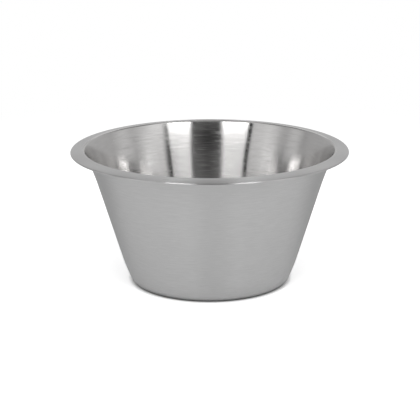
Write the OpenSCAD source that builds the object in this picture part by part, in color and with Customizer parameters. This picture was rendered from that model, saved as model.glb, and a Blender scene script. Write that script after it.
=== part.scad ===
// A mixing bowl pressed from one sheet of stainless steel: flat base, tapered wall, wide rim.
// The whole bowl is one piece, so every stretch below keeps the sheet's thickness.
// The origin is the middle of the base, on the table, and +Z points up.

/* [Bowl] */
// Diameter over the outer edge of the rim
rim_d = 240; // [200:1:300]
// Height from the table to the top of the rim
bowl_h = 118; // [95:1:145]
// Diameter where the straight wall's outer line reaches the table
base_d = 141; // [115:1:170]
// Thickness of the sheet
sheet = 0.8; // [0.5:0.1:1]

/* [Wall] */
// Outer radius of the corner round the base
corner_r = 6; // [3:0.5:12]
// Outer radius of the long curve that leads from the corner into the wall
heel_r = 140; // [60:5:220]
// Angle that this long curve turns through, in degrees
heel_turn = 8; // [3:0.5:10]
// Depth below the rim at which the straight wall starts to flare
flare_h = 30; // [15:1:40]
// Outer radius of the flare
flare_r = 205; // [150:5:400]

/* [Rim] */
// Width of the rim outside the straight wall's outer line, at the level of the rim
flange_w = 13.5; // [11:0.5:18]
// Upper radius of the bend from the wall into the flange
bend_r = 2.5; // [1.5:0.1:4]
// Upper radius of the crown across the flange
crown_r = 28; // [22:1:80]
// Outer radius of the turned-down edge
edge_r = 1.2; // [1.1:0.1:2.5]

/* [Hidden] */

// Satin stainless steel
steel = [0.66, 0.66, 0.67];
// Largest gap between a curve of the outline and the short lines that draw it
curve_gap = 0.01;
// Sides that the preview gives the bowl all the way round
round_sides = 240;

rim_r = rim_d / 2;
mouth_r = rim_r - flange_w;
base_r = base_d / 2;

// Slope of the straight wall from upright, and the way its outer face looks
wall_angle = atan((mouth_r - base_r) / bowl_h);
wall_out = [cos(wall_angle), -sin(wall_angle)];
// Distance of the wall's outer line from the origin
wall_reach = [mouth_r, bowl_h] * wall_out;

// The corner stands on the table, and the long curve runs on from it and touches the wall's line
corner_end = wall_angle + heel_turn;
flat_r = (wall_reach - heel_r + (heel_r - corner_r) * cos(heel_turn) + corner_r * sin(wall_angle))
    / cos(wall_angle);
corner_centre = [flat_r, corner_r];
heel_centre = corner_centre - (heel_r - corner_r) * [cos(corner_end), -sin(corner_end)];

// The flare bends the wall outwards, so its centre lies outside the bowl
flare_start = [mouth_r - flare_h * tan(wall_angle), bowl_h - flare_h];
flare_centre = flare_start + flare_r * wall_out;

// The bend touches the flare's inner face and the level of the rim
bend_reach = flare_r + sheet - bend_r;
bend_rise = bowl_h - bend_r - flare_centre[1];
bend_centre = [flare_centre[0] - sqrt(bend_reach ^ 2 - bend_rise ^ 2), bowl_h - bend_r];
flare_end = asin(bend_rise / bend_reach);

// The crown starts level on top of the bend and falls to the edge, which turns straight down
crown_centre = [bend_centre[0], bowl_h - crown_r];
crown_turn = asin((rim_r - edge_r - bend_centre[0]) / (crown_r - edge_r));
edge_centre = [rim_r - edge_r, crown_centre[1] + (crown_r - edge_r) * cos(crown_turn)];

// The cut end of the sheet is polished round
lip_r = sheet / 2;
lip_centre = [rim_r - lip_r, edge_centre[1]];

function on_arc(centre, r, angle) = centre + r * [cos(angle), sin(angle)];

// Points along an arc, without its first one, where the stretch before it ends
function arc(centre, r, from, to) =
    let (steps = ceil(abs(to - from) / (2 * acos(1 - curve_gap / r))))
    [for (i = [1:steps]) on_arc(centre, r, from + (to - from) * i / steps)];

// One face of the sheet from the middle of the base to the edge, at a depth from the outer face
function face(depth) = concat(
    [[0, depth], [flat_r, depth]],
    arc(corner_centre, corner_r - depth, -90, -corner_end),
    arc(heel_centre, heel_r - depth, -corner_end, -wall_angle),
    [on_arc(flare_centre, flare_r + depth, 180 - wall_angle)],
    arc(flare_centre, flare_r + depth, 180 - wall_angle, 180 - flare_end),
    arc(bend_centre, bend_r - sheet + depth, 180 - flare_end, 90),
    arc(crown_centre, crown_r - sheet + depth, 90, 90 - crown_turn),
    arc(edge_centre, edge_r - sheet + depth, 90 - crown_turn, 0)
);

// A list of points backwards, without its last one, where the lip ends
function returned(points) = [for (i = [len(points) - 2:-1:0]) points[i]];

module sheet_profile() {
    lip = arc(lip_centre, lip_r, 180, 360);
    polygon(concat(face(0), lip, returned(face(sheet))));
}

module bowl() {
    color(steel)
        rotate_extrude($fn = round_sides)
            sheet_profile();
}

bowl();
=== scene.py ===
import math

import bmesh
import bpy
from mathutils import Matrix, Quaternion, Vector


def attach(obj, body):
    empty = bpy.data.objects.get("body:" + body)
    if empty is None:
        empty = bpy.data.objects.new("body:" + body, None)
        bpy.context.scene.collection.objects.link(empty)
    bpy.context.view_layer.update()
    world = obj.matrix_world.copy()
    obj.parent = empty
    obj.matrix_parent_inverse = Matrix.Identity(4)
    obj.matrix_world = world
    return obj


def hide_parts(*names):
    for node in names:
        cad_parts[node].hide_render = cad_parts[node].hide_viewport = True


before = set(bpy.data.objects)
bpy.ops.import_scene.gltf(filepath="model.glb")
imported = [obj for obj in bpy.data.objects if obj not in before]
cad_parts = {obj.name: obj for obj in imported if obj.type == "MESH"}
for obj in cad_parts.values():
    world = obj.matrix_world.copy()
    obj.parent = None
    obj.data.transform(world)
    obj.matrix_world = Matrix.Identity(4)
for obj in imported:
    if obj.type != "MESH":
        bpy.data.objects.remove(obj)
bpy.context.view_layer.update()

scene = bpy.context.scene

# The bowl: one disc of stainless sheet, drawn into a tapered wall with a flat base. The rim is the same sheet,
# bent out into a wide flange with a slight crown and turned down at its edge, which is polished round. The
# inside and the rim are brushed round and round on a lathe, and the outside keeps a duller satin.
RIM_D, HEIGHT, BASE_D, SHEET = 0.240, 0.118, 0.141, 0.0008
CORNER_R, HEEL_R, HEEL_TURN = 0.006, 0.140, math.radians(8)
FLARE_H, FLARE_R = 0.030, 0.205
FLANGE_W, BEND_R, CROWN_R, EDGE_R = 0.0135, 0.0025, 0.028, 0.0012
ROUND_STEPS = 320
# How far from its ends a straight stretch has the points that keep it flat
KEEP_FLAT = 0.001

rim_r, lip_r = RIM_D / 2, SHEET / 2
mouth_r = rim_r - FLANGE_W
wall_angle = math.atan((mouth_r - BASE_D / 2) / HEIGHT)
wall_out = Vector((math.cos(wall_angle), 0, -math.sin(wall_angle)))
corner_end = wall_angle + HEEL_TURN
flat_r = (
    Vector((mouth_r, 0, HEIGHT)) @ wall_out
    - HEEL_R
    + (HEEL_R - CORNER_R) * math.cos(HEEL_TURN)
    + CORNER_R * math.sin(wall_angle)
) / math.cos(wall_angle)
corner_centre = Vector((flat_r, 0, CORNER_R))
heel_centre = corner_centre - (HEEL_R - CORNER_R) * Vector((math.cos(corner_end), 0, -math.sin(corner_end)))
flare_start = Vector((mouth_r - FLARE_H * math.tan(wall_angle), 0, HEIGHT - FLARE_H))
flare_centre = flare_start + FLARE_R * wall_out
bend_reach, bend_rise = FLARE_R + SHEET - BEND_R, HEIGHT - BEND_R - flare_centre.z
bend_centre = Vector((flare_centre.x - math.sqrt(bend_reach**2 - bend_rise**2), 0, HEIGHT - BEND_R))
flare_end = math.asin(bend_rise / bend_reach)
crown_centre = Vector((bend_centre.x, 0, HEIGHT - CROWN_R))
crown_turn = math.asin((rim_r - EDGE_R - bend_centre.x) / (CROWN_R - EDGE_R))
edge_centre = Vector((rim_r - EDGE_R, 0, crown_centre.z + (CROWN_R - EDGE_R) * math.cos(crown_turn)))
lip_centre = Vector((rim_r - lip_r, 0, edge_centre.z))

bowl_mesh = bmesh.new()


def drawn_to(point, x, z):
    """Carries the sheet's outline straight on, with a point close to each end that keeps the stretch flat."""
    start, end = point.co.copy(), Vector((x, 0, z))
    flat_share = KEEP_FLAT / (end - start).length
    for share in (flat_share, 1 - flat_share, 1):
        point = bmesh.ops.extrude_vert_indiv(bowl_mesh, verts=[point])["verts"][0]
        point.co = start.lerp(end, share)
    return point


def bent(point, centre, turn, steps):
    """Carries the sheet's outline on round a centre."""
    made = bmesh.ops.spin(
        bowl_mesh, geom=[point], cent=centre, axis=(0, -1, 0), dvec=(0, 0, 0), angle=turn, steps=steps
    )
    return next(v for v in made["geom_last"] if isinstance(v, bmesh.types.BMVert))


# Centre, turn and steps of each bend of the sheet from the base to the edge; None is the straight wall
bends = [
    (corner_centre, math.pi / 2 - corner_end, 14),
    (heel_centre, HEEL_TURN, 14),
    None,
    (flare_centre, wall_angle - flare_end, 14),
    (bend_centre, flare_end - math.pi / 2, 18),
    (crown_centre, -crown_turn, 14),
    (edge_centre, crown_turn - math.pi / 2, 12),
]

# The outer face goes out to the edge, and after the round lip the inner face comes back to the middle
middle = bmesh.ops.create_vert(bowl_mesh, co=(0, 0, 0))["vert"][0]
outline = drawn_to(middle, flat_r, 0)
for bend in bends:
    outline = bent(outline, *bend) if bend else drawn_to(outline, flare_start.x, flare_start.z)
outline = bent(outline, lip_centre, math.pi, 10)
inner_heel = heel_centre + (HEEL_R - SHEET) * wall_out
for bend in reversed(bends):
    if bend:
        centre, turn, steps = bend
        outline = bent(outline, centre, -turn, steps)
    else:
        outline = drawn_to(outline, inner_heel.x, inner_heel.z)
outline = drawn_to(outline, 0, SHEET)

bmesh.ops.spin(
    bowl_mesh,
    geom=bowl_mesh.verts[:] + bowl_mesh.edges[:],
    cent=(0, 0, 0),
    axis=(0, 0, 1),
    dvec=(0, 0, 0),
    angle=math.tau,
    steps=ROUND_STEPS,
    use_merge=True,
)
bmesh.ops.remove_doubles(bowl_mesh, verts=bowl_mesh.verts[:], dist=1e-6)
bmesh.ops.recalc_face_normals(bowl_mesh, faces=bowl_mesh.faces[:])

# The finishes, in the order of the bowl's material slots. The rim's starts just inside the middle of the bend and
# ends at the lip. A face looks in, up or down where its normal does so by more than these amounts.
OUTSIDE, INSIDE, RIM = range(3)
RIM_INWARDS = 0.0005
LOOKS_IN, LOOKS_UP, LOOKS_DOWN = -0.05, 0.5, -0.5
for face in bowl_mesh.faces:
    face.smooth = True
    at = face.calc_center_median()
    outwards = (face.normal.x * at.x + face.normal.y * at.y) / math.hypot(at.x, at.y)
    if math.hypot(at.x, at.y) > bend_centre.x - RIM_INWARDS and at.z > edge_centre.z - lip_r:
        seen_from_above = face.normal.z > LOOKS_DOWN and outwards > LOOKS_IN
        face.material_index = RIM if seen_from_above else OUTSIDE
    else:
        inner_base = face.normal.z > LOOKS_UP and at.z > SHEET / 2
        face.material_index = INSIDE if outwards < LOOKS_IN or inner_base else OUTSIDE


def made_from(mesh, name):
    """Turns a bmesh into an object of the scene."""
    data = bpy.data.meshes.new(name)
    mesh.to_mesh(data)
    mesh.free()
    made = bpy.data.objects.new(name, data)
    scene.collection.objects.link(made)
    return made


bowl = made_from(bowl_mesh, "bowl_sheet")


class Link:
    """An output socket of a node. Arithmetic on links adds Math nodes to their tree."""

    def __init__(self, tree, socket=None):
        self.tree, self.socket = tree, socket

    def node(self, kind, inputs=(), output=0, stops=(), **settings):
        """Adds a node, sets it up, gives its inputs their values or links, and returns one of its outputs."""
        made = self.tree.nodes.new("ShaderNode" + kind)
        for name, value in settings.items():
            setattr(made, name, value)
        for number, (place, colour) in enumerate(stops):
            ramp = made.color_ramp.elements
            stop = ramp[number] if number < len(ramp) else ramp.new(place)
            stop.position, stop.color = place, colour
        for name, value in dict(inputs).items():
            if isinstance(value, Link):
                self.tree.links.new(value.socket, made.inputs[name])
            else:
                made.inputs[name].default_value = value
        return Link(self.tree, made.outputs[output]) if made.outputs else None

    def parts(self):
        """The three coordinates of a vector."""
        split = self.node("SeparateXYZ", {"Vector": self}).socket.node
        return [Link(self.tree, socket) for socket in split.outputs]

    def maths(self, operation, *values):
        """A Math node on the values, among which the link itself is only if it is given."""
        return self.node("Math", enumerate(values), operation=operation)

    def ramp(self, low, high):
        """Nothing below low and one above high, with a smooth step between."""
        return self.node(
            "MapRange", {"Value": self, "From Min": low, "From Max": high}, interpolation_type="SMOOTHSTEP"
        )

    def between(self, low, high, soft):
        """One from low to high and nothing outside, with edges that fade over twice the softness."""
        return self.ramp(low - soft, low + soft) * (1.0 - self.ramp(high - soft, high + soft))

    def __add__(self, other):
        return self.maths("ADD", self, other)

    def __sub__(self, other):
        return self.maths("SUBTRACT", self, other)

    def __rsub__(self, other):
        return self.maths("SUBTRACT", other, self)

    def __mul__(self, other):
        return self.maths("MULTIPLY", self, other)

    def __truediv__(self, other):
        return self.maths("DIVIDE", self, other)

    def __pow__(self, other):
        return self.maths("POWER", self, other)

    __radd__, __rmul__ = __add__, __mul__


def emptied(owner):
    """Clears the nodes of a material or of the world, and returns the start of new ones."""
    owner.use_nodes = True
    owner.node_tree.nodes.clear()
    return Link(owner.node_tree)


def steel(name, colour, roughness, anisotropic, grain, streaks, scratches=0.0):
    """Stainless sheet brushed round the bowl's axis: fine grooves, wider streaks, and faint marks of use.

    Grain is the depth of the grooves in metres, streaks says how much the colour varies from one to the next,
    and scratches how much rougher the scratched lines are than the steel between them.
    """
    material = bpy.data.materials.new(name)
    start = emptied(material)
    place = start.node("TexCoord", output="Object")
    x, y, z = place.parts()
    across = (x * x + y * y) ** 0.5
    around = start.node("CombineXYZ", {"X": x / across, "Y": y / across})
    along = across + z

    def lines(a_metre, a_radian, **more):
        """Noise in lines round the axis, with so many side by side and so many end to end."""
        sockets = {"Vector": around, "W": along * (a_metre / a_radian), "Scale": a_radian, "Detail": 2.0, **more}
        return start.node("TexNoise", sockets, noise_dimensions="4D")

    groove = lines(5200.0, 4.0)
    streak = lines(1760.0, 8.0, Roughness=0.7)
    scratch = lines(1020.0, 6.0).ramp(0.5, 0.66)
    cloud = start.node("TexNoise", {"Vector": place, "Scale": 26.0, "Detail": 4.0, "Roughness": 0.6})
    shade = 1.0 + (streak - 0.5) * streaks + (cloud - 0.5) * 0.04
    dullness = 1.0 + (streak - 0.5) * 0.4 + (cloud - 0.5) * 0.2
    start.node("OutputMaterial", {"Surface": start.node("BsdfPrincipled", {
        "Base Color": start.node("VectorMath", {0: colour, "Scale": shade}, operation="SCALE"),
        "Metallic": 1.0,
        "Roughness": roughness * dullness + scratch * scratches,
        "Anisotropic": anisotropic,
        "Anisotropic Rotation": 0.25,
        "Normal": start.node("Bump", {"Height": streak + 0.1 * groove, "Strength": 1.0, "Distance": grain}),
    })})
    return material


for finish in (
    steel("steel_satin_outside", (0.58, 0.58, 0.58), 0.40, 0.8, 6e-6, 0.36),
    steel("steel_brushed_inside", (0.588, 0.58, 0.574), 0.14, 0.95, 6e-6, 0.36, 0.12),
    steel("steel_brushed_rim", (0.585, 0.58, 0.58), 0.30, 1.0, 3e-6, 0.12),
):
    bowl.data.materials.append(finish)
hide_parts("bowl")
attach(bowl, "root")

# The floor: a wide pale sheet of studio board that the bowl stands on. The camera sees it white, and it takes the
# bowl's soft shadow from the lamps; where the base touches it, a painted contact shadow in its colour makes it
# darkest. The steel mirrors it with a painted shadow in its colour behind the bowl, and far off it is plain, as
# the lamps reach less of it.
BOARD_R, BOARD_DOWN = 14.0, 0.00002
# The last of these is the depth of the painted shadow behind the bowl in the board's colour, as the steel mirrors
# it
BOARD_GREY, SEEN_PALER, PAINTED_SHADOW_BEHIND = 0.8, 0.68, 0.3
floor_mesh = bmesh.new()
bmesh.ops.create_circle(floor_mesh, cap_ends=True, segments=96, radius=BOARD_R)
floor = made_from(floor_mesh, "floor")
floor.location.z = -BOARD_DOWN


def rays(start):
    """Tells whether a ray comes from the camera, from a metal that mirrors, or through glass."""
    path = start.node("LightPath").socket.node
    return [Link(start.tree, path.outputs[f"Is {kind} Ray"]) for kind in ("Camera", "Glossy", "Transmission")]


board = bpy.data.materials.new("studio_board")
start = emptied(board)
place = start.node("TexCoord", output="Object")
far = start.node("VectorMath", {0: place}, output="Value", operation="LENGTH").ramp(0.28, 0.75)
# Where the board's colour, as the steel mirrors it, gets a painted shadow behind the bowl
painted_shadow_behind = place.parts()[1].ramp(-0.06, 0.14)
seen, mirrored, through = rays(start)
shown = start.maths("MINIMUM", seen + mirrored + through, 1.0)
# Painted contact shadow: an occlusion node darkens the board's colour where the base touches it
painted_contact_shadow = start.node("AmbientOcclusion", {"Distance": 0.004}, output="AO", samples=8) ** 0.7
pale = (BOARD_GREY - PAINTED_SHADOW_BEHIND * painted_shadow_behind * mirrored + SEEN_PALER * seen) * painted_contact_shadow
near_board = start.node("BsdfDiffuse", {"Color": start.node("CombineColor", {0: pale, 1: pale, 2: pale})})
far_board = start.node("Emission", {"Color": (1, 1, 1, 1), "Strength": 0.5 + 0.5 * seen})
start.node("OutputMaterial", {"Surface": start.node("MixShader", {0: far * shown, 1: near_board, 2: far_board})})
floor.data.materials.append(board)

# The light: a pale room with two tall soft boxes to the left and right of the camera. Behind the camera, between
# the boxes, the room is dark. The camera sees the room white, and the steel mirrors it with its soft boxes, which
# two lamps stand in for where they light the floor.
PLAIN_ROOM = 0.75
LEAN_FROM = 20.0
room = bpy.data.worlds.new("studio_room")
scene.world = room
start = emptied(room)
x, y, z = start.node("TexCoord", output="Generated").parts()

# Degrees to the right of the camera and above the horizon. The soft boxes and the walls lean by different shares
# of the degrees above LEAN_FROM, so each has its own degrees to the right.
side = start.maths("ARCTAN2", x, 0.0 - y) * math.degrees(1)
rise = start.maths("ARCSINE", z) * math.degrees(1)
apart = start.maths("ABSOLUTE", side)
over = rise - LEAN_FROM
turned = start.maths("SIGN", side) * over
box_side = side - 0.24 * turned + 0.04 * over
wall_side = side - 0.17 * turned + 0.11 * over

# How bright the walls are at so many degrees to the right of the camera
wall_levels = (
    (-180, 0.62), (-150, 0.55), (-118, 0.54), (-108, 0.48), (-99, 0.73), (-93, 0.74), (-84, 0.60), (-78, 0.64),
    (-70, 0.86), (-62, 0.96), (-50, 0.86), (-43.5, 0.82), (-42.5, 0.0), (-38, 0.0), (-14, 0.14), (-8, 0.09),
    (-2, 0.03), (4, 0.03), (11, 0.08), (20, 0.14), (40, 0.0), (45.5, 0.0), (51, 0.90), (62, 0.94), (67, 1.0),
    (75, 0.82), (84, 0.68), (98, 0.80), (112, 0.58), (180, 0.62),
)
walls = start.node(
    "ValToRGB",
    {"Fac": wall_side / 360.0 + 0.5},
    stops=[(0.5 + degrees / 360, (grey, grey, grey, 1)) for degrees, grey in wall_levels],
)

# The soft boxes open out from each other above, get brighter upwards, and are dimmer at their outer edges
opened = 0.7 * rise.ramp(22, 32)
left_box = (side + opened).between(-90, -13.7, 3.5) * box_side.ramp(-38.4, -37.4)
right_box = (side - opened).between(20.5, 90, 2) * (1.0 - box_side.ramp(42.3, 43.3))
box_rise = 1.12 - 0.09 * rise.ramp(20, 26) + 1.1 * rise.ramp(31, 36.5) + 5.0 * rise.ramp(36, 42)
box_level = box_rise * (1.0 - 0.25 * apart.ramp(32, 40) * (1.0 - rise.ramp(20, 28)))

# Light and shade elsewhere: a glow on the right, lights low at the sides, the gap between the boxes, the back
# wall, lights high at the back, and a ceiling that is dimmer at the sides
glow = side.between(44, 66, 4) * rise.ramp(24, 33) * 0.25
low = (1.0 - rise.ramp(13.5, 18.5)) * (0.32 * apart.between(57, 70, 3) - 0.28 * apart.between(73, 84, 3))
gap = (1.0 - apart.ramp(12, 22)) * (0.08 * (1.0 - rise.ramp(17, 29)) + 0.15 * rise.ramp(35, 39))
rear = apart.ramp(140, 168)
back_wall = 0.45 * rear * rise.between(25, 48, 6)
above = 0.25 * (1.0 - rear) * rise.ramp(50, 70) + 0.25 * rise.ramp(70, 86)
above = above + 0.2 * apart.between(150, 176.5, 2) * rise.between(38, 66, 3)
ceiling = rise.ramp(22, 60) * apart.ramp(50, 100)
bare_room = (1.0 - 0.62 * ceiling) * walls + glow + low + gap + above + back_wall
mirror_room = bare_room + (left_box + right_box) * (box_level - walls) * (1.0 - rise.ramp(44, 51))

seen, mirrored, through = rays(start)
shown = start.maths("MINIMUM", mirrored + through, 1.0)
level = seen + (1.0 - seen) * (shown * mirror_room + (1.0 - shown) * PLAIN_ROOM)
start.node("OutputWorld", {"Surface": start.node("Background", {"Color": (1, 1, 1, 1), "Strength": level})})

BOX_W, BOX_H, BOX_AWAY, BOX_UP, BOX_WATTS = 0.66, 2.2, 1.6, 1.35, 15.0
for name, degrees in (("soft_box_left", -28.5), ("soft_box_right", 35.5)):
    lamp = bpy.data.lights.new(name, "AREA")
    lamp.shape, lamp.size, lamp.size_y, lamp.energy = "RECTANGLE", BOX_W, BOX_H, BOX_WATTS
    box = bpy.data.objects.new(name, lamp)
    scene.collection.objects.link(box)
    bearing = math.radians(degrees)
    box.location = (BOX_AWAY * math.sin(bearing), -BOX_AWAY * math.cos(bearing), BOX_UP)
    box.rotation_euler = (math.radians(90), 0, bearing)
    box.visible_camera = box.visible_glossy = False

# The camera: a long lens 1.2 m away, a little above the rim, level but for a fifth of a degree.
CAMERA_D, CAMERA_UP, CAMERA_ROLL = 1.2, math.radians(15.855), math.radians(-0.179)
aim = Vector((0.00014, 0, 0.06093))
lens = bpy.data.cameras.new("camera")
lens.lens, lens.sensor_width, lens.clip_start, lens.clip_end = 117.46, 36, 0.05, 60
camera = bpy.data.objects.new("camera", lens)
scene.collection.objects.link(camera)
back = Vector((0, -math.cos(CAMERA_UP), math.sin(CAMERA_UP)))
facing = (-back).to_track_quat("-Z", "Y") @ Quaternion((0, 0, 1), CAMERA_ROLL)
camera.matrix_world = Matrix.LocRotScale(aim + CAMERA_D * back, facing, None)
scene.camera = camera
scene.view_settings.view_transform = "Standard"
